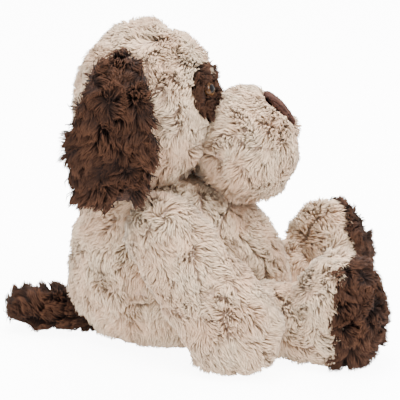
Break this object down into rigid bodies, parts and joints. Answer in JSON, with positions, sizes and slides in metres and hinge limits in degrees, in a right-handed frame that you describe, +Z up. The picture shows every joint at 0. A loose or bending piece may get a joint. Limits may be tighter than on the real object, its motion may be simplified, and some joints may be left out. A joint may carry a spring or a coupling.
{
  "type": "plush toy dog",
  "caption": "Seated plush dog with a big muzzle, hanging brown ears, brown feet and tail, and a head, ears, arms, legs and tail that bend at their seams.",
  "frame": {"origin": "on the floor, at the middle of the flat underside of the seat", "axes": "+Z up; -Y the way the dog faces; -X to its right"},
  "size_m": [0.2736, 0.3449, 0.299],
  "materials": {
    "cream_plush": "long soft pile",
    "brown_plush": "long soft pile",
    "nose_velour": "short velour pile",
    "stuffing": "loose fibre",
    "bead_bag": "plain weave",
    "eye_plastic": "polished",
    "washer_plastic": "moulded"
  },
  "bodies": {
    "torso": {"torso_skin": "cream_plush", "belly_panel": "cream_plush", "seat_bead_bag": "bead_bag", "torso_stuffing": "stuffing"},
    "neck": {"neck_stuffing": "stuffing"},
    "head": {"head_skin": "cream_plush", "head_stuffing": "stuffing", "muzzle_skin": "cream_plush", "muzzle_stuffing": "stuffing", "nose": "nose_velour", "eye_patch_right": "brown_plush", "eye_right": "eye_plastic", "eye_washer_right": "washer_plastic", "eye_patch_left": "brown_plush", "eye_left": "eye_plastic", "eye_washer_left": "washer_plastic"},
    "ear_right": {"ear_right_front": "brown_plush", "ear_right_lining": "brown_plush"},
    "arm_right": {"arm_right_skin": "cream_plush", "arm_right_stuffing": "stuffing", "paw_right_bead_bag": "bead_bag"},
    "leg_right": {"leg_right_skin": "cream_plush", "foot_right_cap": "brown_plush", "leg_right_stuffing": "stuffing", "foot_right_bead_bag": "bead_bag"},
    "ear_left": {"ear_left_front": "brown_plush", "ear_left_lining": "brown_plush"},
    "arm_left": {"arm_left_skin": "cream_plush", "arm_left_stuffing": "stuffing", "paw_left_bead_bag": "bead_bag"},
    "leg_left": {"leg_left_skin": "cream_plush", "foot_left_cap": "brown_plush", "leg_left_stuffing": "stuffing", "foot_left_bead_bag": "bead_bag"},
    "tail": {"tail_skin": "brown_plush", "tail_stuffing": "stuffing"}
  },
  "joints": [
    {"name": "neck_turn", "type": "hinge", "parent": "torso", "child": "neck", "pos_m": [0, 0.026, 0.158], "axis": [0, 0, 1], "range_deg": [-20, 20]},
    {"name": "neck_nod", "type": "hinge", "parent": "neck", "child": "head", "pos_m": [0, 0.026, 0.158], "axis": [1, 0, 0], "range_deg": [-15, 2]},
    {"name": "ear_right_lift", "type": "hinge", "parent": "head", "child": "ear_right", "pos_m": [-0.043, 0.055, 0.283], "axis": [0, 1, 0], "range_deg": [0, 100]},
    {"name": "arm_right_swing", "type": "hinge", "parent": "torso", "child": "arm_right", "pos_m": [-0.074, 0.018, 0.12], "axis": [1, 0, 0], "range_deg": [0, 75]},
    {"name": "leg_right_swing", "type": "hinge", "parent": "torso", "child": "leg_right", "pos_m": [-0.046, -0.046, 0.03], "axis": [1, 0, 0], "range_deg": [-14, 30]},
    {"name": "ear_left_lift", "type": "hinge", "parent": "head", "child": "ear_left", "pos_m": [0.043, 0.055, 0.283], "axis": [0, -1, 0], "range_deg": [0, 100]},
    {"name": "arm_left_swing", "type": "hinge", "parent": "torso", "child": "arm_left", "pos_m": [0.074, 0.018, 0.12], "axis": [1, 0, 0], "range_deg": [0, 75]},
    {"name": "leg_left_swing", "type": "hinge", "parent": "torso", "child": "leg_left", "pos_m": [0.046, -0.046, 0.03], "axis": [1, 0, 0], "range_deg": [-14, 30]},
    {"name": "tail_wag", "type": "hinge", "parent": "torso", "child": "tail", "pos_m": [0, 0.093, 0.019], "axis": [0, 0, 1], "range_deg": [-25, 25]}
  ]
}
